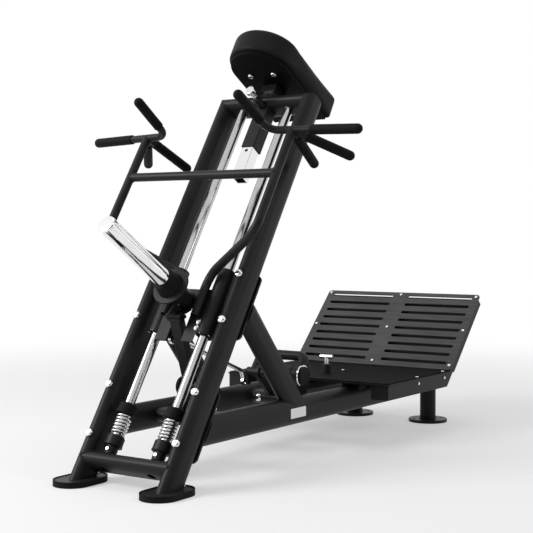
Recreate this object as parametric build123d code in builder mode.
from build123d import *
import os
from math import cos, radians, sin, tan

# Plate-loaded, chest-supported T-bar row machine.
# X runs across the machine, Y from the weight horn at the front (-Y) to the foot
# platform at the back (+Y), Z up. The origin is on the floor, midway along the machine.
# The two uprights lean back. Along them a second frame is used: x across, t square to
# the uprights towards the back, and s up along them from the floor.

# ---------------------------------------------------------------- driving dimensions
# millimetres and degrees
seat_gap = 0.3          # between pieces that slide or turn on each other
running_gap = 0.1       # radial, for shafts in their bearings

tube_depth = 80.0       # flat-sided oval frame tube: long way across its section
tube_width = 42.0       # short way
tube_nose = 30.0        # length of each rounded nose
tube_wall = 3.0

lean = 32.8             # of the uprights, from the vertical
frame_foot_y = -733.0   # where the uprights' centre lines meet the floor
frame_half_spacing = 148.0
frame_top = 1264.0      # s of the frame's top edge
bottom_tube_s = 64.0    # s of the bottom cross tube's centre

foot_length = 163.0
foot_width = 105.0
foot_shoe_height = 16.0
foot_recess = 8.0
foot_rim = 3.0
foot_plate_thickness = 6.0
foot_screw_offset = 66.5

joint_bolt_s = [127.0, 273.0, 489.0, 632.0]   # two for each joint plate
joint_plate_margin = [18.0, 41.0]             # below the lower and above the upper bolt
joint_plate_width = 34.0
joint_plate_thickness = 6.0
frame_bolt_diameter = 12.0
frame_bolt_head = [23.0, 8.0]                 # diameter and height
frame_nut = [19.0, 10.0]                      # across flats and height
bolt_hole_gap = 0.5

beam_height = 145.0     # z of the base beams' centres
beam_end_y = 770.0
end_cap_lip = 3.0
end_cap_plug = 14.0
cross_tube_y = [-415.0, 60.0, 650.0]
cross_tube_bolt_x = 94.0

brace_foot_y = -170.0   # where the braces' centre lines meet the beams' top edges
brace_angle = 49.0      # above the horizontal
brace_length = 420.0

rear_leg_y = 721.0
rear_leg_diameter = 55.0
rear_leg_wall = 3.0
rear_disc_diameter = 134.0
rear_disc_thickness = 10.0
rear_disc_bolt_circle = 102.0
rear_disc_hole = 12.0

rod_half_spacing = 82.0
rod_t = -6.0
rod_diameter = 28.0
rod_bolt = [10.0, 17.0, 6.0, 28.0]            # thread, head, head height, thread length
socket_diameter = 35.0
socket_length = 23.5
set_screw_diameter = 8.0
spring_seat_diameter = 50.0
spring_seat_length = 30.5
spring_seat_lip = [52.0, 5.0]
spring_length = 62.0
spring_diameter = 44.0
spring_wire = 6.0
spring_turns = 6
bumper_diameter = 50.0
bumper_length = 31.0
bumper_lip = [55.0, 9.0]                      # diameter and length, at its lower end
access_hole = 26.0

housing_bottom_s = 451.0
housing_length = 204.0
housing_diameter = 50.0
bearing_diameter = 42.0
bearing_length = 50.0
seal_thickness = 5.0

carriage_plate_t = -21.5
carriage_plate_thickness = 8.0
carriage_plate_s = [425.0, 587.0]
carriage_notch = [52.0, 528.0]                # its width, and s of its top
rest_point = [-511.0, 439.0]                  # y and z where the carriage rests on the prop
rest_plate = [52.0, 54.0, 7.0]                # width, length and thickness
gusset_thickness = 10.0
gusset_top = 40.0                             # how far it reaches forward along the root
gusset_foot = [60.0, 58.0]                    # forward and down to its outer corner
horn_root_diameter = 56.0

horn_s = 544.0
horn_diameter = 50.0
horn_wall = 5.0
horn_tip_t = -418.0
horn_cap = 6.0
horn_cap_step = 0.8                           # cap's diameter under the horn's
flange_t = -116.0       # front face of the flange
flange_diameter = 110.0
flange_thickness = 6.0
collar_length = 38.0
collar_diameters = [78.0, 64.0]               # at the flange and at the front
horn_neck_diameter = 46.0                     # of the horn inside the collar

arm_diameter = 25.0
arm_wall = 2.5
arm_low = [52.0, -38.0, 497.0]                # x, t, s of the arm's lower end
arm_bend_s = [628.0, 684.0]
arm_high = [256.0, -168.0]                    # x and t of the arm's upper run
arm_bend_radius = 55.0
arm_cross_tube_s = 872.0

handle_s = 1015.0
handle_bar_diameter = 22.0
handle_elbow = [181.0, -172.0]                # x and t where the bar turns forwards
handle_outer_end = [456.0, -157.0]
handle_front_end = [173.0, -330.0]
handle_elbow_radius = 38.0
grip_diameter = 28.0
outer_grip_length = 140.0
front_grip_length = 112.0
splay_angles = [36.0, -8.5]                   # of the two rear grips, outwards from t
splay_rise = 4.5                              # both point up a little, in degrees
splay_reach = [181.0, 178.0]
splay_grip_length = [136.0, 142.0]

sleeve_size = 45.0
sleeve_wall = 3.2
sleeve_reach = 188.0    # of the sleeve below the frame's top edge
sleeve_above_frame = 3.0
post_size = 38.0
post_wall = 3.0
post_reach = 294.0      # of the post below the frame's top edge
post_hole_pitch = 40.0
post_holes = 5
post_pin_diameter = 10.0
post_pin_drop = 41.0                          # of the pin below the frame's top edge
post_pin_travel = 8.0                         # from home to just clear of the post
barrel_size = [24.0, 28.0]                    # diameter and reach beyond the frame
pin_stem_diameter = 16.0
pin_knob = [29.0, 14.0, 2.0]                  # diameter, length and edge radius
pin_knob_reach = 40.0                         # barrel's front to the knob's face

pad_t = -44.0                                 # of a point under the cushion
pad_rise = 50.5                               # of that point above the frame's top edge
pad_tilt = 2.5                                # the cushion rises towards the back
pad_radius = 102.0
pad_round_centre = -45.0
pad_rear = 212.0
pad_thickness = 75.0
pad_edge_radius = 10.0
board_inset = 8.0
board_thickness = 12.0
pad_bolt = [18.0, 6.0]                        # head diameter and height
pad_bolt_x = 41.0
pad_bolt_y = [-36.0, 120.0]
pad_bracket = [56.0, 54.0, 24.0, 4.0]         # across, along, depth and corner radius

deck_front_y = 138.0
deck_half_width = 305.0
deck_lift = 10.0                              # of the deck's underside above the beams
deck_thickness = 4.0
deck_corner = 15.0
mat_thickness = 3.0
mat_inset = 5.0
rail_width = 60.0
rail_height = 45.0
rail_inset = 5.0
rail_wall = 3.0
deck_screw_y = [350.0, 536.0]
deck_screw_inset = 11.0
rail_screw_drop = 13.0
centre_screw_y = 385.0
small_screw = [10.0, 3.0]                     # head diameter and height
glide_y = [200.0, 500.0]
glide_size = [60.0, 40.0, 24.0]

plate_foot_y = 571.0                          # of the foot plate's lower edge
plate_foot_rise = 10.0                        # of that edge above the deck's underside
plate_slope = 45.6
plate_side_lip = 2.0                          # of the foot plate beyond the deck
plate_length = 337.0
plate_thickness = 4.0
plate_corner = 12.0
slot_rows = 9
slot_pitch = 36.0
slot_width = 13.0
slot_margins = [30.0, 25.0]                   # from the plate's middle line and its edge
plate_middle = 172.0                          # from the lower edge to the middle row
plate_screw_inset = 12.0
plate_screw_pitch = 154.0
pan_depth = 25.0
pan_wall = 3.0
pan_top_margin = 19.0

adjuster = [40.0, 20.0, 2.5]                  # width, height and wall of the perforated rail
adjuster_overhang = 20.0
adjuster_pitch = 40.0
adjuster_holes = 4
deck_pin_y = 279.0
deck_pin_diameter = 14.0
deck_boss = [26.0, 38.0]
deck_pin_top = 62.0                           # deck's underside to the T handle
deck_pin_handle = 47.0

prop_pivot = [-443.0, 235.0]                  # y and z
prop_saddle = [46.0, 32.0, 7.0]               # width, length and thickness
prop_buffer = [3.0, 5.0]                      # inset and thickness of its rubber face
prop_eye_pin = [9.0, 4.0]                     # beyond the link's middle and into the prop
prop_disc_thickness = 8.0
prop_width = 36.0
prop_depth = 26.0
prop_hub_diameter = 38.0
prop_pin_diameter = 16.0
prop_disc_diameter = 54.0
bracket_thickness = 6.0

pedal_axis = [-25.0, 231.0]                   # y and z
pedal_shaft_diameter = 30.0
pedal_shaft_x = [-101.0, 74.0]
pedal_housing_diameter = 60.0
pedal_housing_x = [24.0, 71.0]
pedal_bearing_radius = 22.0
pedal_bearing_width = 20.0
pedal_left_bearing_x = [-62.0, -50.0]
pedal_hub_length = 24.0
pedal_ring = [64.0, 4.0]
pedal_dome = [56.0, 8.0]                      # diameter of its sphere and height of the cap
ear_setback = [8.0, 12.0]                     # of the brackets before the cross tubes' middles
ear_foot = [26.0, 16.0]                       # half length and height on the tube
pedal_bar_diameter = 30.0
pedal_bar_x = [-78.0, 86.0]
pedal_bar_rise = [42.0, 54.0]                 # back and up from the shaft
pedal_bar_bend = 26.0
crank_offset = [-6.0, -30.0]                   # y and z of the link's pin from the shaft
crank_thickness = 8.0
crank_pin_diameter = 10.0
link_offset = 12.0                            # of the link's middle beyond the shaft's end

link_eye = [-484.0, 375.0]                    # y and z of the link's front eye
link_kink = [-45.0, 235.0]
link_eye_x = -31.0
link_bar_diameter = 14.0
link_bend = 14.0
link_eye_width = 10.0
link_eye_diameters = [38.0, 24.0]             # front and rear
link_pin_diameter = 12.0
link_rear_clearance = 3.2                     # the rear eye runs loose on its pin

# ---------------------------------------------------------------- frames and shared places
across = Vector(1, 0, 0)
up_lean = Vector(0, sin(radians(lean)), cos(radians(lean)))
back_lean = Vector(0, cos(radians(lean)), -sin(radians(lean)))
leaning = Plane(origin=(0, frame_foot_y, 0), x_dir=across, z_dir=up_lean)


def at(x, t, s):
    """World point of the leaning frame's x, t and s."""
    return leaning.from_local_coords(Vector(x, t, s))


def along(s):
    """Plane square to the uprights: sketches in x and t, grows upwards."""
    return leaning.offset(s)


def facing(t, x=0.0, s=0.0):
    """Plane along the uprights: sketches in x and s, grows forwards."""
    return Plane(origin=at(x, t, s), x_dir=across, z_dir=back_lean * -1)


def lean_side(x):
    """Plane square to X in the leaning frame: sketches in t and s, grows to +X."""
    return Plane(origin=at(x, 0, 0), x_dir=back_lean, z_dir=across)


def side(x):
    """Plane square to X: sketches in y and z, grows to +X."""
    return Plane(origin=(x, 0, 0), x_dir=(0, 1, 0), z_dir=across)


def across_at(point):
    """Plane square to X with its origin at the point: grows to +X."""
    return Plane(origin=(0, point.Y, point.Z), x_dir=(0, 1, 0), z_dir=across)


def tube_plane(origin, run, narrow):
    """Plane for the oval tube: it runs along z, and narrow is its short way."""
    return Plane(origin=origin, x_dir=narrow, z_dir=run)


sides = {"left": -1, "right": 1}
front_t = -tube_depth / 2
back_t = tube_depth / 2
plate_back_t = back_t + joint_plate_thickness
post_pin_s = frame_top - post_pin_drop
sleeve_bottom_s = frame_top - sleeve_reach
post_bottom_s = frame_top - post_reach
pad_s = frame_top + pad_rise
top_tube_s = frame_top - tube_width / 2
foot_plate_top = foot_shoe_height - foot_recess + foot_plate_thickness
beam_top = beam_height + tube_depth / 2
socket_bottom_s = bottom_tube_s + tube_width / 2
barrel_front = -front_t + barrel_size[1]
seat_bottom_s = socket_bottom_s + socket_length
spring_bottom_s = seat_bottom_s + spring_seat_length
bumper_bottom_s = spring_bottom_s + spring_length
rod_end_s = frame_top - tube_wall
housing_top_s = housing_bottom_s + housing_length
housing_bore = bearing_diameter + 2 * running_gap
rod_bore = rod_diameter + 2 * running_gap
deck_height = beam_top + deck_lift
plate_foot_z = deck_height + plate_foot_rise
mat_top = deck_height + deck_thickness + mat_thickness
rail_outer_x = deck_half_width - rail_inset
plate_half_width = deck_half_width + plate_side_lip
deck_screw_x = deck_half_width - deck_screw_inset
plate_screw_x = plate_half_width - plate_screw_inset
adjuster_z = beam_height + tube_width / 2
pedal_centre = Vector(0, pedal_axis[0], pedal_axis[1])
crank_pin = pedal_centre + Vector(0, crank_offset[0], crank_offset[1])


# ---------------------------------------------------------------- shared shapes
def oval(inset=0.0, mode=Mode.ADD):
    """Outline of the frame tube, its long way along the sketch's Y."""
    half_flat = tube_depth / 2 - tube_nose
    with Locations((0, half_flat), (0, -half_flat)):
        Ellipse(tube_width / 2 - inset, tube_nose - inset, mode=mode)
    Rectangle(tube_width - 2 * inset, 2 * half_flat, mode=mode)


def oval_tube(plane, low, high):
    """Adds a hollow length of frame tube to the current part."""
    with BuildSketch(plane.offset(low)) as wall:
        oval()
        oval(inset=tube_wall, mode=Mode.SUBTRACT)
    extrude(wall.sketch, amount=high - low)


def cut_oval(plane, low, high, clearance=0.0):
    """Cuts away the room that a frame tube takes, for a coped end."""
    with BuildSketch(plane.offset(low)) as room:
        oval(inset=-clearance)
    extrude(room.sketch, amount=high - low, mode=Mode.SUBTRACT)


def round_bar(plane, low, high, diameter, bore=0.0, mode=Mode.ADD):
    """Adds or cuts a round bar or tube, from low to high along the plane's z."""
    with BuildSketch(plane.offset(low)) as section:
        Circle(diameter / 2)
        if bore:
            Circle(bore / 2, mode=Mode.SUBTRACT)
    extrude(section.sketch, amount=high - low, mode=mode)


def upright_plane(sign):
    return tube_plane(at(sign * frame_half_spacing, 0, 0), up_lean, across)


def mitre_plane(sign):
    """Plane of the mitre between an upright and the top member, facing up and inwards."""
    return Plane(origin=at(sign * frame_half_spacing, 0, top_tube_s), x_dir=back_lean,
                 z_dir=up_lean - across * sign)


def cross_plane(s):
    return tube_plane(at(0, 0, s), across, up_lean)


def beam_plane(sign):
    return tube_plane((sign * frame_half_spacing, 0, beam_height), (0, 1, 0), across)


def base_cross_plane(y):
    return tube_plane((0, y, beam_height), across, (0, 0, 1))


def rod_plane(sign):
    return Plane(origin=at(sign * rod_half_spacing, rod_t, 0), x_dir=across, z_dir=up_lean)


# Screws are made once, head down on the XY plane and growing upwards from it.
with BuildPart() as dome_head:
    Cylinder(frame_bolt_head[0] / 2, frame_bolt_head[1],
             align=(Align.CENTER, Align.CENTER, Align.MIN))
    fillet(dome_head.faces().sort_by(Axis.Z)[-1].edges(), frame_bolt_head[1] * 0.8)

with BuildPart() as button_screw:
    Cylinder(small_screw[0] / 2, small_screw[1], align=(Align.CENTER, Align.CENTER, Align.MIN))
    fillet(button_screw.faces().sort_by(Axis.Z)[-1].edges(), small_screw[1] * 0.6)

with BuildPart() as board_bolt:
    Cylinder(pad_bolt[0] / 2, pad_bolt[1], align=(Align.CENTER, Align.CENTER, Align.MIN))
    fillet(board_bolt.faces().sort_by(Axis.Z)[-1].edges(), pad_bolt[1] * 0.8)

os.makedirs("parts", exist_ok=True)

# ---------------------------------------------------------------- leaning frame
pin_plane = facing(0, 0, post_pin_s)
sleeve_front = -rod_t + sleeve_size / 2

for name, sign in sides.items():
    with BuildPart() as upright:
        oval_tube(upright_plane(sign), -tube_depth, frame_top)
        split(bisect_by=Plane.XY.offset(foot_plate_top), keep=Keep.TOP)
        split(bisect_by=mitre_plane(sign), keep=Keep.BOTTOM)
        for s in joint_bolt_s:
            round_bar(facing(0, sign * frame_half_spacing, s), front_t - 5, back_t + 5,
                      frame_bolt_diameter + 2 * bolt_hole_gap, mode=Mode.SUBTRACT)
    upright.part.label = f"upright_{name}"
    export_step(upright.part, f"parts/upright_{name}.step")

with BuildPart() as top_cross_member:
    oval_tube(cross_plane(top_tube_s), -frame_half_spacing - tube_width,
              frame_half_spacing + tube_width)
    for sign in sides.values():
        split(bisect_by=mitre_plane(sign), keep=Keep.TOP)
    for sign in sides.values():
        round_bar(rod_plane(sign), frame_top - tube_width - 1, frame_top - tube_wall,
                  rod_diameter + 2 * running_gap, mode=Mode.SUBTRACT)
        round_bar(rod_plane(sign), top_tube_s, frame_top + 1, rod_bolt[0] + 2 * bolt_hole_gap,
                  mode=Mode.SUBTRACT)
    with BuildSketch(along(frame_top - tube_width - 1)) as window:
        with Locations((0, rod_t)):
            Rectangle(sleeve_size, sleeve_size)
    extrude(window.sketch, amount=tube_width + 2, mode=Mode.SUBTRACT)
    round_bar(pin_plane, sleeve_front, barrel_front, barrel_size[0])
    round_bar(pin_plane, sleeve_front - 1, barrel_front, post_pin_diameter + 2 * running_gap,
              mode=Mode.SUBTRACT)
top_cross_member.part.label = "top_cross_member"
export_step(top_cross_member.part, "parts/top_cross_member.step")

with BuildPart() as bottom_cross_tube:
    oval_tube(cross_plane(bottom_tube_s), -frame_half_spacing, frame_half_spacing)
    for sign in sides.values():
        cut_oval(upright_plane(sign), -tube_depth, frame_top)
        round_bar(rod_plane(sign), bottom_tube_s - tube_width, bottom_tube_s, access_hole,
                  mode=Mode.SUBTRACT)
        round_bar(rod_plane(sign), bottom_tube_s, bottom_tube_s + tube_width,
                  rod_bolt[0] + 2 * bolt_hole_gap, mode=Mode.SUBTRACT)
bottom_cross_tube.part.label = "bottom_cross_tube"
export_step(bottom_cross_tube.part, "parts/bottom_cross_tube.step")

foot_places = [(sign * frame_half_spacing, frame_foot_y) for sign in sides.values()]
foot_screw_places = [(x, y + foot_screw_offset) for x, y in foot_places]

with BuildPart() as front_foot_shoes:
    with BuildSketch():
        with Locations(*foot_places):
            SlotOverall(foot_length, foot_width, rotation=90)
    extrude(amount=foot_shoe_height)
    with BuildSketch(Plane.XY.offset(foot_shoe_height - foot_recess)):
        with Locations(*foot_places):
            SlotOverall(foot_length - 2 * foot_rim, foot_width - 2 * foot_rim, rotation=90)
    extrude(amount=foot_recess, mode=Mode.SUBTRACT)
front_foot_shoes.part.label = "front_foot_shoes"
export_step(front_foot_shoes.part, "parts/front_foot_shoes.step")

with BuildPart() as front_foot_plates:
    inset = foot_rim + seat_gap
    with BuildSketch(Plane.XY.offset(foot_shoe_height - foot_recess)):
        with Locations(*foot_places):
            SlotOverall(foot_length - 2 * inset, foot_width - 2 * inset, rotation=90)
    extrude(amount=foot_plate_thickness)
front_foot_plates.part.label = "front_foot_plates"
export_step(front_foot_plates.part, "parts/front_foot_plates.step")

with BuildPart() as joint_plates:
    plate_spans = [joint_bolt_s[:2], joint_bolt_s[2:]]
    with BuildSketch(facing(plate_back_t)):
        for x in (-frame_half_spacing, frame_half_spacing):
            for low, high in plate_spans:
                length = high - low + sum(joint_plate_margin)
                middle = (high + joint_plate_margin[1] + low - joint_plate_margin[0]) / 2
                with Locations((x, middle)):
                    RectangleRounded(joint_plate_width, length, joint_plate_width / 2 - 1)
                with Locations((x, low), (x, high)):
                    Circle(frame_bolt_diameter / 2 + bolt_hole_gap, mode=Mode.SUBTRACT)
    extrude(amount=joint_plate_thickness)
joint_plates.part.label = "joint_plates"
export_step(joint_plates.part, "parts/joint_plates.step")

bolt_planes = [facing(front_t, sign * frame_half_spacing, s)
               for sign in sides.values() for s in joint_bolt_s]
cross_bolt_planes = [
    Plane(origin=(x, cross_tube_y[1] - tube_depth / 2, beam_height), x_dir=across, z_dir=(0, -1, 0))
    for x in (-cross_tube_bolt_x, cross_tube_bolt_x)
]

with BuildPart() as frame_bolts:
    with Locations(*bolt_planes, *cross_bolt_planes):
        add(dome_head.part)
    for plane in bolt_planes:
        round_bar(plane, -tube_depth - joint_plate_thickness - frame_nut[1] - 6, 0,
                  frame_bolt_diameter)
    for plane in cross_bolt_planes:
        round_bar(plane, -tube_wall, 0, frame_bolt_diameter)
    with Locations(*[Location((x, y, foot_plate_top)) for x, y in foot_screw_places]):
        add(button_screw.part)
frame_bolts.part.label = "frame_bolts"
export_step(frame_bolts.part, "parts/frame_bolts.step")

with BuildPart() as frame_nuts:
    with BuildSketch(facing(plate_back_t)):
        for x in (-frame_half_spacing, frame_half_spacing):
            with Locations(*[(x, s) for s in joint_bolt_s]):
                RegularPolygon(frame_nut[0] / 2, 6, major_radius=False)
                Circle(frame_bolt_diameter / 2, mode=Mode.SUBTRACT)
    extrude(amount=-frame_nut[1])
frame_nuts.part.label = "frame_nuts"
export_step(frame_nuts.part, "parts/frame_nuts.step")

# ---------------------------------------------------------------- base
for name, sign in sides.items():
    with BuildPart() as base_beam:
        oval_tube(beam_plane(sign), frame_foot_y, beam_end_y)
        split(bisect_by=facing(plate_back_t), keep=Keep.BOTTOM)
        for s in joint_bolt_s[:2]:
            round_bar(facing(plate_back_t, sign * frame_half_spacing, s), -frame_nut[1] - 8, 0,
                      frame_nut[0] + 6, mode=Mode.SUBTRACT)
    base_beam.part.label = f"base_beam_{name}"
    export_step(base_beam.part, f"parts/base_beam_{name}.step")

with BuildPart() as base_cross_tubes:
    for y in cross_tube_y:
        oval_tube(base_cross_plane(y), -frame_half_spacing, frame_half_spacing)
    for sign in sides.values():
        cut_oval(beam_plane(sign), frame_foot_y, beam_end_y)
    for plane in cross_bolt_planes:
        round_bar(plane, -2 * tube_wall, 1, frame_bolt_diameter, mode=Mode.SUBTRACT)
base_cross_tubes.part.label = "base_cross_tubes"
export_step(base_cross_tubes.part, "parts/base_cross_tubes.step")

with BuildPart() as beam_end_caps:
    for sign in sides.values():
        plane = beam_plane(sign).offset(beam_end_y)
        with BuildSketch(plane) as lip:
            oval()
        extrude(lip.sketch, amount=end_cap_lip)
        with BuildSketch(plane) as plug:
            oval(inset=tube_wall)
        extrude(plug.sketch, amount=-end_cap_plug)
beam_end_caps.part.label = "beam_end_caps"
export_step(beam_end_caps.part, "parts/beam_end_caps.step")

brace_run = Vector(0, -cos(radians(brace_angle)), sin(radians(brace_angle)))
for name, sign in sides.items():
    foot = (sign * frame_half_spacing, brace_foot_y, beam_top)
    with BuildPart() as brace:
        oval_tube(tube_plane(foot, brace_run, across), -tube_depth, brace_length)
        split(bisect_by=facing(plate_back_t), keep=Keep.BOTTOM)
        split(bisect_by=Plane.XY.offset(beam_top - tube_nose + 1), keep=Keep.TOP)
        cut_oval(beam_plane(sign), frame_foot_y, beam_end_y)
        for s in joint_bolt_s[2:]:
            round_bar(facing(plate_back_t, sign * frame_half_spacing, s), -frame_nut[1] - 8, 0,
                      frame_nut[0] + 6, mode=Mode.SUBTRACT)
    brace.part.label = f"brace_{name}"
    export_step(brace.part, f"parts/brace_{name}.step")

leg_places = [(sign * frame_half_spacing, rear_leg_y) for sign in sides.values()]

with BuildPart() as rear_legs:
    with BuildSketch(Plane.XY.offset(rear_disc_thickness)):
        with Locations(*leg_places):
            Circle(rear_leg_diameter / 2)
            Circle(rear_leg_diameter / 2 - rear_leg_wall, mode=Mode.SUBTRACT)
    extrude(amount=beam_height - rear_disc_thickness)
    for sign in sides.values():
        cut_oval(beam_plane(sign), frame_foot_y, beam_end_y)
rear_legs.part.label = "rear_legs"
export_step(rear_legs.part, "parts/rear_legs.step")

with BuildPart() as rear_foot_discs:
    with BuildSketch():
        with Locations(*leg_places):
            Circle(rear_disc_diameter / 2)
            with PolarLocations(rear_disc_bolt_circle / 2, 4, start_angle=45):
                Circle(rear_disc_hole / 2, mode=Mode.SUBTRACT)
    extrude(amount=rear_disc_thickness)
rear_foot_discs.part.label = "rear_foot_discs"
export_step(rear_foot_discs.part, "parts/rear_foot_discs.step")

with BuildPart() as adjuster_rail:
    rail_low = cross_tube_y[1] - adjuster_overhang
    rail_high = cross_tube_y[2] + adjuster_overhang
    with BuildSketch(Plane(origin=(0, rail_low, adjuster_z), x_dir=(-1, 0, 0), z_dir=(0, 1, 0))):
        with Locations((0, adjuster[1] / 2)):
            Rectangle(adjuster[0], adjuster[1])
            Rectangle(adjuster[0] - 2 * adjuster[2], adjuster[1] - 2 * adjuster[2],
                      mode=Mode.SUBTRACT)
    extrude(amount=rail_high - rail_low)
    for count in range(adjuster_holes):
        place = Plane(origin=(0, deck_pin_y + count * adjuster_pitch, adjuster_z))
        round_bar(place, adjuster[1] / 2, adjuster[1] + 1, deck_pin_diameter + 2 * seat_gap,
                  mode=Mode.SUBTRACT)
adjuster_rail.part.label = "adjuster_rail"
export_step(adjuster_rail.part, "parts/adjuster_rail.step")

# ---------------------------------------------------------------- guide rods and bumpers
with BuildPart() as guide_rods:
    for sign in sides.values():
        round_bar(rod_plane(sign), socket_bottom_s, rod_end_s, rod_diameter)
        for low, high in ((socket_bottom_s, socket_bottom_s + rod_bolt[3]),
                          (rod_end_s - rod_bolt[3], rod_end_s)):
            round_bar(rod_plane(sign), low, high, rod_bolt[0], mode=Mode.SUBTRACT)
guide_rods.part.label = "guide_rods"
export_step(guide_rods.part, "parts/guide_rods.step")

with BuildPart() as rod_screws:
    for sign in sides.values():
        plane = rod_plane(sign)
        inner_head_s = socket_bottom_s - tube_wall - seat_gap
        round_bar(plane, inner_head_s, socket_bottom_s + rod_bolt[3] - 1, rod_bolt[0])
        round_bar(plane, inner_head_s - rod_bolt[2], inner_head_s, rod_bolt[1])
        round_bar(plane, rod_end_s - rod_bolt[3] + 1, frame_top, rod_bolt[0])
        round_bar(plane, frame_top, frame_top + rod_bolt[2], rod_bolt[1])
        screw_plane = facing(rod_t - socket_diameter / 2, sign * rod_half_spacing,
                             socket_bottom_s + socket_length / 2)
        round_bar(screw_plane, -(socket_diameter - rod_diameter) / 2 + running_gap, 1.5,
                  set_screw_diameter)
rod_screws.part.label = "rod_screws"
export_step(rod_screws.part, "parts/rod_screws.step")

with BuildPart() as rod_sockets:
    for sign in sides.values():
        round_bar(rod_plane(sign), socket_bottom_s, seat_bottom_s, socket_diameter, rod_bore)
        screw_plane = facing(rod_t, sign * rod_half_spacing, socket_bottom_s + socket_length / 2)
        round_bar(screw_plane, 0, socket_diameter, set_screw_diameter, mode=Mode.SUBTRACT)
rod_sockets.part.label = "rod_sockets"
export_step(rod_sockets.part, "parts/rod_sockets.step")


def ring(plane, low, high, diameter, bore, edge):
    """A ring with both outer edges broken by a chamfer, as its own solid."""
    with BuildPart() as piece:
        round_bar(plane, low, high, diameter, bore)
        rims = piece.edges().filter_by(GeomType.CIRCLE).group_by(SortBy.RADIUS)[-1]
        chamfer(rims, edge)
    return piece.part


with BuildPart() as spring_seats:
    for sign in sides.values():
        add(ring(rod_plane(sign), seat_bottom_s, spring_bottom_s, spring_seat_diameter,
                 rod_bore, 3))
        round_bar(rod_plane(sign), seat_bottom_s + 1.5, seat_bottom_s + spring_seat_lip[1],
                  spring_seat_lip[0], rod_bore)
spring_seats.part.label = "spring_seats"
export_step(spring_seats.part, "parts/spring_seats.step")

for name, sign in sides.items():
    coil_low = spring_bottom_s + spring_wire / 2 + running_gap
    coil_height = spring_length - spring_wire - 2 * running_gap
    coil_radius = (spring_diameter - spring_wire) / 2
    with BuildPart() as spring:
        with BuildLine() as coil:
            Helix(coil_height / spring_turns, coil_height, coil_radius,
                  center=at(sign * rod_half_spacing, rod_t, coil_low), direction=up_lean)
        with BuildSketch(Plane(origin=coil.line @ 0, z_dir=coil.line % 0)):
            Circle(spring_wire / 2)
        sweep(path=coil.line, is_frenet=True)
    spring.part.label = f"bumper_spring_{name}"
    export_step(spring.part, f"parts/bumper_spring_{name}.step")

    with BuildPart() as bumper:
        add(ring(rod_plane(sign), bumper_bottom_s, bumper_bottom_s + bumper_length,
                 bumper_diameter, rod_bore, 2))
        add(ring(rod_plane(sign), bumper_bottom_s, bumper_bottom_s + bumper_lip[1],
                 bumper_lip[0], rod_bore, 1))
    bumper.part.label = f"bumper_{name}"
    export_step(bumper.part, f"parts/bumper_{name}.step")

# ---------------------------------------------------------------- carriage
for name, sign in sides.items():
    with BuildPart() as housing:
        round_bar(rod_plane(sign), housing_bottom_s, housing_top_s, housing_diameter, housing_bore)
        rims = housing.edges().filter_by(GeomType.CIRCLE).group_by(SortBy.RADIUS)[-1]
        fillet(rims, 2)
    housing.part.label = f"bearing_housing_{name}"
    export_step(housing.part, f"parts/bearing_housing_{name}.step")

with BuildPart() as linear_bearings:
    for sign in sides.values():
        low = housing_bottom_s + seal_thickness
        high = housing_top_s - seal_thickness
        round_bar(rod_plane(sign), low, low + bearing_length, bearing_diameter, rod_bore)
        round_bar(rod_plane(sign), high - bearing_length, high, bearing_diameter, rod_bore)
linear_bearings.part.label = "linear_bearings"
export_step(linear_bearings.part, "parts/linear_bearings.step")

with BuildPart() as bearing_seals:
    for sign in sides.values():
        for low in (housing_bottom_s, housing_top_s - seal_thickness):
            round_bar(rod_plane(sign), low, low + seal_thickness, bearing_diameter,
                      rod_diameter + 2 * seat_gap)
bearing_seals.part.label = "bearing_seals"
export_step(bearing_seals.part, "parts/bearing_seals.step")

with BuildPart() as carriage_plate:
    plate_low, plate_high = carriage_plate_s
    notch_width, notch_top = carriage_notch
    with BuildSketch(facing(carriage_plate_t + carriage_plate_thickness / 2)):
        with Locations((0, (plate_low + plate_high) / 2)):
            Rectangle(2 * rod_half_spacing, plate_high - plate_low)
        with Locations((0, (plate_low + notch_top) / 2)):
            Rectangle(notch_width, notch_top - plate_low, mode=Mode.SUBTRACT)
    extrude(amount=carriage_plate_thickness)
    for sign in sides.values():
        round_bar(rod_plane(sign), plate_low - 1, plate_high + 1, housing_diameter,
                  mode=Mode.SUBTRACT)
carriage_plate.part.label = "carriage_plate"
export_step(carriage_plate.part, "parts/carriage_plate.step")

plate_front_t = carriage_plate_t - carriage_plate_thickness / 2
flange_back_t = flange_t + flange_thickness
prop_axis = Vector(0, prop_pivot[0], prop_pivot[1])
prop_run = Vector(0, rest_point[0], rest_point[1]) - prop_axis
prop_reach = prop_run.length
prop_plane = Plane(origin=prop_axis, x_dir=across, z_dir=prop_run)
rest_width, rest_length, rest_thickness = rest_plate
saddle_width, saddle_length, saddle_thickness = prop_saddle
buffer_inset, buffer_thickness = prop_buffer
gusset_forward, gusset_down = gusset_foot
horn_plane = facing(0, 0, horn_s)

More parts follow.
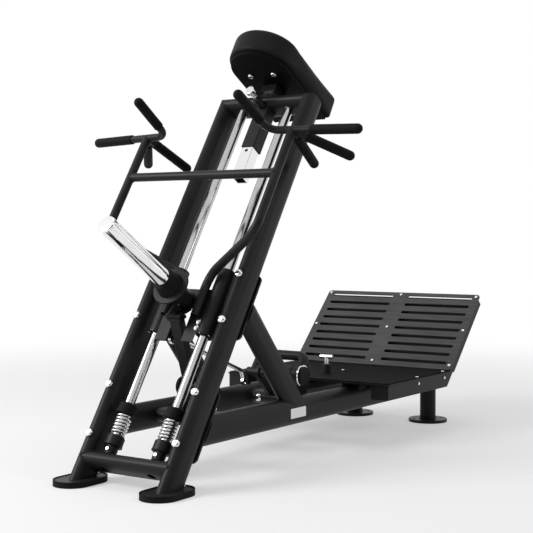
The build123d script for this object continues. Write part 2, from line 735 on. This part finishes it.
with BuildPart() as horn_root:
    with BuildSketch(lean_side(-gusset_thickness / 2)):
        with BuildLine():
            Polyline((plate_front_t, horn_s), (plate_front_t, notch_top + 2),
                     (plate_front_t - gusset_forward, notch_top - gusset_down),
                     (plate_front_t - gusset_top, horn_s), close=True)
        make_face()
    extrude(amount=gusset_thickness)
    with BuildSketch(prop_plane.offset(prop_reach + seat_gap)) as below:
        Rectangle(2 * rest_width, 4 * rest_length)
    extrude(below.sketch, amount=-2 * rest_length, mode=Mode.SUBTRACT)
    with BuildSketch(prop_plane.offset(prop_reach + seat_gap)) as rest:
        with Locations((0, (rest_length - saddle_length) / 2)):
            Rectangle(rest_width, rest_length)
    extrude(rest.sketch, amount=rest_thickness)
    round_bar(horn_plane, -plate_front_t, -flange_back_t, horn_root_diameter)
    split(bisect_by=facing(plate_front_t), keep=Keep.TOP)
    round_bar(horn_plane, -plate_front_t, -flange_back_t, horn_root_diameter - 2 * horn_wall,
              mode=Mode.SUBTRACT)
    with BuildPart(mode=Mode.PRIVATE) as flange:
        round_bar(horn_plane, -flange_back_t, -flange_t, flange_diameter)
        fillet(flange.edges().filter_by(GeomType.CIRCLE), 1.5)
    add(flange.part)
    round_bar(across_at(prop_axis), -rest_width, rest_width, 2 * (prop_reach + seat_gap),
              mode=Mode.SUBTRACT)
horn_root.part.label = "horn_root"
export_step(horn_root.part, "parts/horn_root.step")

with BuildPart() as horn_collar:
    with BuildSketch(horn_plane.offset(-flange_t)) as back_ring:
        Circle(collar_diameters[0] / 2)
    with BuildSketch(horn_plane.offset(-flange_t + collar_length)) as front_ring:
        Circle(collar_diameters[1] / 2)
    loft([back_ring.sketch.face(), front_ring.sketch.face()])
    round_bar(horn_plane, -flange_t, -flange_t + collar_length,
              horn_neck_diameter + 2 * running_gap, mode=Mode.SUBTRACT)
horn_collar.part.label = "horn_collar"
export_step(horn_collar.part, "parts/horn_collar.step")

with BuildPart() as weight_horn:
    round_bar(horn_plane, -flange_t + collar_length, -horn_tip_t, horn_diameter)
    round_bar(horn_plane, -flange_t, -flange_t + collar_length, horn_neck_diameter)
    round_bar(horn_plane, -flange_t, -horn_tip_t, horn_diameter - 2 * horn_wall,
              mode=Mode.SUBTRACT)
weight_horn.part.label = "weight_horn"
export_step(weight_horn.part, "parts/weight_horn.step")

with BuildPart() as horn_end_cap:
    round_bar(horn_plane, -horn_tip_t, -horn_tip_t + horn_cap, horn_diameter - horn_cap_step)
    fillet(horn_end_cap.faces().sort_by(Axis(at(0, 0, 0), back_lean * -1))[-1].edges(),
           horn_cap * 0.8)
    round_bar(horn_plane, -horn_tip_t - 4 * horn_cap, -horn_tip_t,
              horn_diameter - 2 * horn_wall)
horn_end_cap.part.label = "horn_end_cap"
export_step(horn_end_cap.part, "parts/horn_end_cap.step")


def swept_tube(points, radius, diameter, bore=0.0):
    """Adds a round tube along straight runs joined by bends of one radius."""
    with BuildLine() as path:
        FilletPolyline(*points, radius=radius)
    start = Plane(origin=path.line @ 0, z_dir=path.line % 0)
    with BuildSketch(start) as section:
        Circle(diameter / 2)
        if bore:
            Circle(bore / 2, mode=Mode.SUBTRACT)
    sweep(section.sketch, path=path.line)


arm_bore = arm_diameter - 2 * arm_wall
handle_back = Vector(handle_outer_end[0] - handle_elbow[0], handle_outer_end[1] - handle_elbow[1])
bar_t_at_arm = handle_elbow[1] + handle_back.Y / handle_back.X * (arm_high[0] - handle_elbow[0])


def handle_points(sign):
    return [at(sign * x, t, handle_s)
            for x, t in (handle_outer_end, handle_elbow, handle_front_end)]


def bar_run_plane(sign):
    """Plane at the outer end of the handle bar, running inwards along it."""
    end, elbow, _ = handle_points(sign)
    return Plane(origin=end, z_dir=elbow - end)


def stub_plane(sign, angle):
    """Plane on the bar over the arm, running back, up and outwards by the angle."""
    run = (across * (sign * sin(radians(angle))) + back_lean * cos(radians(angle))
           + up_lean * tan(radians(splay_rise)))
    return Plane(origin=at(sign * arm_high[0], bar_t_at_arm, handle_s), x_dir=up_lean, z_dir=run)


for name, sign in sides.items():
    with BuildPart() as arm:
        swept_tube([at(sign * arm_low[0], arm_low[1], arm_low[2]),
                    at(sign * arm_low[0], arm_low[1], arm_bend_s[0]),
                    at(sign * arm_high[0], arm_high[1], arm_bend_s[1]),
                    at(sign * arm_high[0], arm_high[1], handle_s)],
                   arm_bend_radius, arm_diameter, arm_bore)
        round_bar(bar_run_plane(sign), 0, handle_back.length, handle_bar_diameter,
                  mode=Mode.SUBTRACT)
        for angle, reach in zip(splay_angles, splay_reach):
            round_bar(stub_plane(sign, angle), 0, reach, handle_bar_diameter,
                      mode=Mode.SUBTRACT)
    arm.part.label = f"handle_arm_{name}"
    export_step(arm.part, f"parts/handle_arm_{name}.step")

with BuildPart() as arm_cross_tube:
    cross_axis = Plane(origin=at(0, arm_high[1], arm_cross_tube_s), x_dir=up_lean, z_dir=across)
    round_bar(cross_axis, -arm_high[0], arm_high[0], arm_diameter, arm_bore)
    for sign in sides.values():
        arm_axis = Plane(origin=at(sign * arm_high[0], arm_high[1], 0), x_dir=across, z_dir=up_lean)
        round_bar(arm_axis, arm_cross_tube_s - arm_diameter, arm_cross_tube_s + arm_diameter,
                  arm_diameter, mode=Mode.SUBTRACT)
arm_cross_tube.part.label = "arm_cross_tube"
export_step(arm_cross_tube.part, "parts/arm_cross_tube.step")


bar_bore = handle_bar_diameter - 2 * arm_wall
with BuildPart() as handle_bars:
    for sign in sides.values():
        swept_tube(handle_points(sign), handle_elbow_radius, handle_bar_diameter, bar_bore)
    for sign in sides.values():
        for angle, reach in zip(splay_angles, splay_reach):
            with BuildPart(mode=Mode.PRIVATE) as stub:
                round_bar(stub_plane(sign, angle), 0, reach, handle_bar_diameter, bar_bore)
                round_bar(bar_run_plane(sign), 0, handle_back.length, handle_bar_diameter,
                          mode=Mode.SUBTRACT)
                if angle < 0:
                    round_bar(stub_plane(sign, splay_angles[0]), 0, splay_reach[0],
                              handle_bar_diameter, mode=Mode.SUBTRACT)
            add(stub.solids().sort_by(SortBy.VOLUME)[-1])
handle_bars.part.label = "handle_bars"
export_step(handle_bars.part, "parts/handle_bars.step")


def grip(plane, low, high):
    """Adds a rubber grip: a sleeve over the bar up to high, closed by a round end."""
    with BuildPart(mode=Mode.PRIVATE) as sleeve:
        round_bar(plane, low, high, grip_diameter)
        with Locations(plane.offset(high)):
            Sphere(grip_diameter / 2)
        round_bar(plane, low, high, handle_bar_diameter + 2 * running_gap, mode=Mode.SUBTRACT)
    add(sleeve.part)


with BuildPart() as grips:
    for sign in sides.values():
        outer, elbow, front = handle_points(sign)
        grip(Plane(origin=elbow, z_dir=outer - elbow),
             handle_back.length - outer_grip_length, handle_back.length)
        front_reach = (front - elbow).length
        grip(Plane(origin=elbow, z_dir=front - elbow), front_reach - front_grip_length, front_reach)
        for angle, reach, length in zip(splay_angles, splay_reach, splay_grip_length):
            grip(stub_plane(sign, angle), reach - length, reach)
grips.part.label = "grips"
export_step(grips.part, "parts/grips.step")

# ---------------------------------------------------------------- chest pad and its post
sleeve_top_s = frame_top + sleeve_above_frame
pad_plane = Plane(origin=at(0, pad_t, pad_s), x_dir=across,
                  z_dir=up_lean * cos(radians(pad_tilt)) - back_lean * sin(radians(pad_tilt)))


def square_tube(low, high, size, wall):
    with BuildSketch(along(low)) as section:
        with Locations((0, rod_t)):
            RectangleRounded(size, size, wall)
            Rectangle(size - 2 * wall, size - 2 * wall, mode=Mode.SUBTRACT)
    extrude(section.sketch, amount=high - low)


with BuildPart() as pad_sleeve:
    square_tube(sleeve_bottom_s, sleeve_top_s, sleeve_size, sleeve_wall)
    round_bar(pin_plane, -rod_t, sleeve_front + 1, post_pin_diameter + 2 * seat_gap,
              mode=Mode.SUBTRACT)
pad_sleeve.part.label = "pad_sleeve"
export_step(pad_sleeve.part, "parts/pad_sleeve.step")

board_bottom = -board_thickness
bracket_width, bracket_length, bracket_plate, bracket_corner = pad_bracket
post_y = (rod_t - pad_t) * cos(radians(pad_tilt))

with BuildPart() as pad_post:
    square_tube(post_bottom_s, pad_s + board_thickness, post_size, post_wall)
    split(bisect_by=pad_plane.offset(board_bottom - bracket_plate), keep=Keep.BOTTOM)
    for count in range(post_holes):
        round_bar(facing(rod_t, 0, post_pin_s - count * post_hole_pitch), 0, post_size,
                  post_pin_diameter + 2 * seat_gap, mode=Mode.SUBTRACT)
    with BuildSketch(pad_plane.offset(board_bottom - bracket_plate)) as bracket:
        with Locations((0, post_y)):
            RectangleRounded(bracket_width, bracket_length, bracket_corner)
    extrude(bracket.sketch, amount=bracket_plate)
pad_post.part.label = "pad_post"
export_step(pad_post.part, "parts/pad_post.step")


def pad_outline(inset):
    """Round at the front, square at the back."""
    radius = pad_radius - inset
    with Locations((0, pad_round_centre)):
        Circle(radius)
    with Locations((0, pad_round_centre)):
        Rectangle(2 * radius, pad_rear - inset - pad_round_centre,
                  align=(Align.CENTER, Align.MIN))


with BuildPart() as pad_backboard:
    with BuildSketch(pad_plane.offset(board_bottom)) as board:
        pad_outline(board_inset)
    extrude(board.sketch, amount=board_thickness)
pad_backboard.part.label = "pad_backboard"
export_step(pad_backboard.part, "parts/pad_backboard.step")

with BuildPart() as chest_pad:
    with BuildSketch(pad_plane) as cushion:
        pad_outline(0)
    extrude(cushion.sketch, amount=pad_thickness)
    fillet(chest_pad.faces().sort_by(Axis(at(0, 0, 0), up_lean))[-1].edges(), pad_edge_radius)
chest_pad.part.label = "chest_pad"
export_step(chest_pad.part, "parts/chest_pad.step")

with BuildPart() as pad_bolts:
    bolt_face = Plane(origin=pad_plane.from_local_coords(Vector(0, 0, board_bottom)),
                      x_dir=across, z_dir=pad_plane.z_dir * -1)
    with Locations(bolt_face):
        with Locations(*[(x, -y) for x in (-pad_bolt_x, pad_bolt_x) for y in pad_bolt_y]):
            add(board_bolt.part)
pad_bolts.part.label = "pad_bolts"
export_step(pad_bolts.part, "parts/pad_bolts.step")

# At rest the pin stands just clear of the post, over one of its holes.
with BuildPart() as pad_pull_pin:
    pin_tip = -rod_t + post_size / 2 + seat_gap
    knob_diameter, knob_length, knob_edge = pin_knob
    knob_face = barrel_front + pin_knob_reach
    round_bar(pin_plane, knob_face - knob_length, knob_face, knob_diameter)
    fillet(pad_pull_pin.edges(), knob_edge)
    round_bar(pin_plane, pin_tip, knob_face - knob_length, post_pin_diameter)
    round_bar(pin_plane, barrel_front + post_pin_travel + seat_gap, knob_face - knob_length,
              pin_stem_diameter)
pad_pull_pin.part.label = "pad_pull_pin"
export_step(pad_pull_pin.part, "parts/pad_pull_pin.step")

# ---------------------------------------------------------------- foot platform
slope = radians(plate_slope)
plate_plane = Plane(origin=(0, plate_foot_y, plate_foot_z), x_dir=across,
                    z_dir=(0, -sin(slope), cos(slope)))
pan_back = plate_plane.offset(-plate_thickness - pan_depth)
deck_top = deck_height + deck_thickness


def plate_face_y(z, depth):
    """y of a sheet that lies depth behind the foot plate's face, at height z."""
    return plate_foot_y + (z - plate_foot_z) * cos(slope) / sin(slope) + depth / sin(slope)


deck_back_y = plate_face_y(deck_height, plate_thickness) - seat_gap

with BuildPart() as platform_deck:
    with BuildSketch(Plane.XY.offset(deck_height)) as deck:
        with BuildLine():
            Polyline((-deck_half_width, deck_back_y), (-deck_half_width, deck_front_y),
                     (deck_half_width, deck_front_y), (deck_half_width, deck_back_y), close=True)
        make_face()
        fillet(deck.vertices().group_by(Axis.Y)[0], deck_corner)
    extrude(amount=deck_thickness)
    boss_plane = Plane(origin=(0, deck_pin_y, deck_height))
    round_bar(boss_plane, 0, deck_boss[1], deck_boss[0])
    round_bar(boss_plane, -1, deck_boss[1] + 1, deck_pin_diameter + 2 * running_gap,
              mode=Mode.SUBTRACT)
platform_deck.part.label = "platform_deck"
export_step(platform_deck.part, "parts/platform_deck.step")

with BuildPart() as deck_mat:
    mat_back_y = plate_face_y(mat_top, 0) - mat_inset
    with BuildSketch(Plane.XY.offset(deck_top)) as mat:
        with BuildLine():
            half = deck_half_width - mat_inset
            front = deck_front_y + mat_inset
            Polyline((-half, mat_back_y), (-half, front), (half, front), (half, mat_back_y),
                     close=True)
        make_face()
        fillet(mat.vertices().group_by(Axis.Y)[0], deck_corner - mat_inset)
        with Locations((0, deck_pin_y)):
            Circle(deck_boss[0] / 2 + seat_gap, mode=Mode.SUBTRACT)
    extrude(amount=mat_thickness)
deck_mat.part.label = "deck_mat"
export_step(deck_mat.part, "parts/deck_mat.step")

with BuildPart() as platform_rails:
    front_y = deck_front_y + 2 * mat_inset
    rail_plane = Plane(origin=(0, front_y, deck_height - rail_height / 2), x_dir=(-1, 0, 0),
                       z_dir=(0, 1, 0))
    rail_x = rail_outer_x - rail_width / 2
    with BuildSketch(rail_plane):
        with Locations((-rail_x, 0), (rail_x, 0)):
            Rectangle(rail_width, rail_height)
    extrude(amount=plate_length + rail_high - rail_low)
    with BuildSketch(rail_plane.offset(rail_wall)):
        with Locations((-rail_x, 0), (rail_x, 0)):
            Rectangle(rail_width - 2 * rail_wall, rail_height - 2 * rail_wall)
    extrude(amount=plate_length + rail_high - rail_low, mode=Mode.SUBTRACT)
    split(bisect_by=pan_back, keep=Keep.TOP)
platform_rails.part.label = "platform_rails"
export_step(platform_rails.part, "parts/platform_rails.step")

screw_rows = [plate_middle + k * plate_screw_pitch for k in (-1, 0, 1)]
plate_screws = [(u, v) for u in (-plate_screw_x, 0, plate_screw_x) for v in screw_rows]
slot_low_x = slot_margins[0]
slot_high_x = plate_half_width - slot_margins[1]

with BuildPart() as foot_plate:
    with BuildSketch(plate_plane):
        with Locations((0, plate_length / 2)):
            RectangleRounded(2 * plate_half_width, plate_length, plate_corner)
        with Locations((0, plate_middle)):
            with GridLocations(slot_low_x + slot_high_x, slot_pitch, 2, slot_rows):
                SlotOverall(slot_high_x - slot_low_x, slot_width, mode=Mode.SUBTRACT)
    extrude(amount=-plate_thickness)
foot_plate.part.label = "foot_plate"
export_step(foot_plate.part, "parts/foot_plate.step")

with BuildPart() as foot_plate_pan:
    pan_low = -plate_foot_rise / sin(slope) - pan_depth
    pan_high = plate_length - pan_top_margin
    with BuildSketch(plate_plane.offset(-plate_thickness)):
        with Locations((0, (pan_low + pan_high) / 2)):
            Rectangle(2 * deck_half_width, pan_high - pan_low)
    extrude(amount=-pan_depth)
    with BuildSketch(plate_plane.offset(-plate_thickness)):
        with Locations((0, (pan_low + pan_high) / 2 + pan_wall)):
            with GridLocations(deck_half_width, 0, 2, 1):
                Rectangle(deck_half_width - 2 * pan_wall, pan_high - pan_low - 4 * pan_wall)
    extrude(amount=-(pan_depth - pan_wall), mode=Mode.SUBTRACT)
    split(bisect_by=Plane.XY.offset(deck_height), keep=Keep.TOP)
foot_plate_pan.part.label = "foot_plate_pan"
export_step(foot_plate_pan.part, "parts/foot_plate_pan.step")

with BuildPart() as platform_screws:
    with Locations(plate_plane):
        with Locations(*plate_screws):
            add(button_screw.part)
    deck_screws = [(x, y, deck_top) for x in (-deck_screw_x, deck_screw_x) for y in deck_screw_y]
    with Locations(*[Location(place) for place in deck_screws]):
        with Locations((0, 0, mat_thickness)):
            add(button_screw.part)
    with Locations(Location((0, centre_screw_y, mat_top))):
        add(button_screw.part)
    for sign in sides.values():
        for y in deck_screw_y:
            side_face = Plane(origin=(sign * rail_outer_x, y, deck_height - rail_screw_drop),
                              x_dir=(0, 1, 0), z_dir=across * sign)
            with Locations(side_face):
                add(button_screw.part)
platform_screws.part.label = "platform_screws"
export_step(platform_screws.part, "parts/platform_screws.step")

with BuildPart() as glide_pads:
    for sign in sides.values():
        for y in glide_y:
            with Locations(Location((sign * frame_half_spacing, y, deck_height))):
                Box(*glide_size, align=(Align.CENTER, Align.CENTER, Align.MAX))
        cut_oval(beam_plane(sign), frame_foot_y, beam_end_y, clearance=seat_gap)
glide_pads.part.label = "glide_pads"
export_step(glide_pads.part, "parts/glide_pads.step")

# At rest the pin stands just clear of the adjuster rail, over one of its holes.
with BuildPart() as platform_pin:
    handle_z = deck_height + deck_pin_top
    pin_axis = Plane(origin=(0, deck_pin_y, 0))
    round_bar(pin_axis, adjuster_z + adjuster[1] + seat_gap, handle_z, deck_pin_diameter)
    with Locations(pin_axis.offset(handle_z)):
        Cylinder(deck_pin_diameter / 2, deck_pin_handle, rotation=(0, 90, 0))
platform_pin.part.label = "platform_pin"
export_step(platform_pin.part, "parts/platform_pin.step")

# ---------------------------------------------------------------- start-height prop and pedal
bracket_inner_x = prop_width / 2 + 3
bracket_outer_x = bracket_inner_x + bracket_thickness
saddle_bottom = prop_reach - buffer_thickness - saddle_thickness

with BuildPart() as prop_arm:
    with BuildSketch(prop_plane):
        RectangleRounded(prop_width, prop_depth, 4)
    extrude(amount=saddle_bottom)
    round_bar(across_at(prop_axis), -prop_width / 2, prop_width / 2, prop_hub_diameter)
    with BuildSketch(prop_plane.offset(saddle_bottom)) as saddle:
        RectangleRounded(saddle_width, saddle_length, 3)
    extrude(saddle.sketch, amount=saddle_thickness)
    with BuildPart(mode=Mode.PRIVATE) as buffer:
        with BuildSketch(prop_plane.offset(saddle_bottom + saddle_thickness)):
            Rectangle(saddle_width - 2 * buffer_inset, saddle_length - 2 * buffer_inset)
        extrude(amount=buffer_thickness)
        round_bar(across_at(prop_axis), -saddle_width, saddle_width, 2 * prop_reach,
                  mode=Mode.INTERSECT)
    add(buffer.part)
    round_bar(across_at(prop_axis), -prop_width, prop_width,
              prop_pin_diameter + 2 * running_gap, mode=Mode.SUBTRACT)
    eye_centre = Vector(0, link_eye[0], link_eye[1])
    round_bar(across_at(eye_centre), link_eye_x - prop_eye_pin[0],
              -prop_width / 2 + prop_eye_pin[1], link_pin_diameter)
prop_arm.part.label = "prop_arm"
export_step(prop_arm.part, "parts/prop_arm.step")


def ear(x_low, x_high, centre, radius, base_y, half_base):
    """Adds a bracket ear: a rounded top about centre, tapering to a base on a cross tube."""
    with BuildSketch(side(x_low)) as outline:
        with Locations((centre.Y, centre.Z)):
            Circle(radius)
        with Locations((base_y, adjuster_z - ear_foot[1] / 2)):
            Rectangle(2 * half_base, ear_foot[1])
        make_hull()
    extrude(outline.sketch, amount=x_high - x_low)


with BuildPart() as mechanism_brackets:
    for low in (-bracket_outer_x, bracket_inner_x):
        ear(low, low + bracket_thickness, prop_axis, prop_hub_diameter / 2,
            cross_tube_y[0] - ear_setback[0], ear_foot[0])
    middle = sum(pedal_housing_x) / 2
    for low, high in (pedal_left_bearing_x,
                      (middle - pedal_bearing_width / 2, middle + pedal_bearing_width / 2)):
        ear(low, high, pedal_centre, pedal_bearing_radius, cross_tube_y[1] - ear_setback[1],
            pedal_bearing_radius)
    round_bar(across_at(pedal_centre), pedal_housing_x[0], pedal_housing_x[1],
              pedal_housing_diameter)
    round_bar(across_at(pedal_centre), pedal_shaft_x[0], pedal_housing_x[1] + 1,
              pedal_shaft_diameter + 2 * running_gap, mode=Mode.SUBTRACT)
    for y in cross_tube_y[:2]:
        cut_oval(base_cross_plane(y), -frame_half_spacing, frame_half_spacing)
    round_bar(across_at(prop_axis), -bracket_outer_x, bracket_outer_x,
              prop_pin_diameter)
    for low in (-bracket_outer_x - prop_disc_thickness, bracket_outer_x):
        round_bar(across_at(prop_axis), low, low + prop_disc_thickness, prop_disc_diameter)
mechanism_brackets.part.label = "mechanism_brackets"
export_step(mechanism_brackets.part, "parts/mechanism_brackets.step")

hub_low = pedal_shaft_x[1]
hub_high = hub_low + pedal_hub_length
link_rear_x = pedal_shaft_x[0] - link_offset
with BuildPart() as pedal_shaft:
    pedal_run = across_at(pedal_centre)
    crank_run = across_at(crank_pin)
    round_bar(pedal_run, pedal_shaft_x[0], hub_high, pedal_shaft_diameter)
    round_bar(pedal_run, hub_low, hub_high, pedal_housing_diameter)
    with BuildSketch(side(pedal_shaft_x[0])) as crank:
        with Locations((pedal_centre.Y, pedal_centre.Z)):
            Circle(pedal_shaft_diameter / 2)
        with Locations((crank_pin.Y, crank_pin.Z)):
            Circle(crank_pin_diameter)
        make_hull()
    extrude(crank.sketch, amount=crank_thickness)
    round_bar(crank_run, link_rear_x - link_eye_width / 2 - 1, pedal_shaft_x[0],
              crank_pin_diameter)
pedal_shaft.part.label = "pedal_shaft"
export_step(pedal_shaft.part, "parts/pedal_shaft.step")

with BuildPart() as pedal_end_cap:
    round_bar(pedal_run, hub_high, hub_high + pedal_ring[1], pedal_ring[0])
    with Locations(pedal_run.offset(hub_high + pedal_ring[1])):
        Sphere(pedal_dome[0] / 2)
    split(bisect_by=side(hub_high), keep=Keep.TOP)
    split(bisect_by=side(hub_high + pedal_ring[1] + pedal_dome[1]), keep=Keep.BOTTOM)
pedal_end_cap.part.label = "pedal_end_cap"
export_step(pedal_end_cap.part, "parts/pedal_end_cap.step")

with BuildPart() as pedal_bar:
    bar_left, bar_right = pedal_bar_x
    raised = pedal_centre + Vector(0, pedal_bar_rise[0], pedal_bar_rise[1])
    swept_tube([pedal_centre + across * bar_left, raised + across * bar_left,
                raised + across * bar_right, pedal_centre + across * bar_right],
               pedal_bar_bend, pedal_bar_diameter)
    round_bar(pedal_run, pedal_shaft_x[0], hub_low, pedal_shaft_diameter, mode=Mode.SUBTRACT)
    round_bar(pedal_run, hub_low, hub_high, pedal_housing_diameter, mode=Mode.SUBTRACT)
    round_bar(pedal_run, hub_high, hub_high + pedal_hub_length, pedal_ring[0] + 2 * seat_gap,
              mode=Mode.SUBTRACT)
pedal_bar.part.label = "pedal_bar"
export_step(pedal_bar.part, "parts/pedal_bar.step")

with BuildPart() as release_link:
    swept_tube([Vector(link_eye_x, link_eye[0], link_eye[1]),
                Vector(link_rear_x, link_kink[0], link_kink[1]),
                Vector(link_rear_x, crank_pin.Y, crank_pin.Z)], link_bend, link_bar_diameter)
    eye_run = across_at(eye_centre)
    for plane, x, outer, bore in (
            (eye_run, link_eye_x, link_eye_diameters[0], link_pin_diameter + 2 * running_gap),
            (crank_run, link_rear_x, link_eye_diameters[1],
             crank_pin_diameter + 2 * link_rear_clearance)):
        round_bar(plane, x - link_eye_width / 2, x + link_eye_width / 2, outer)
        round_bar(plane, x - link_eye_width, x + link_eye_width, bore, mode=Mode.SUBTRACT)
release_link.part.label = "release_link"
export_step(release_link.part, "parts/release_link.step")
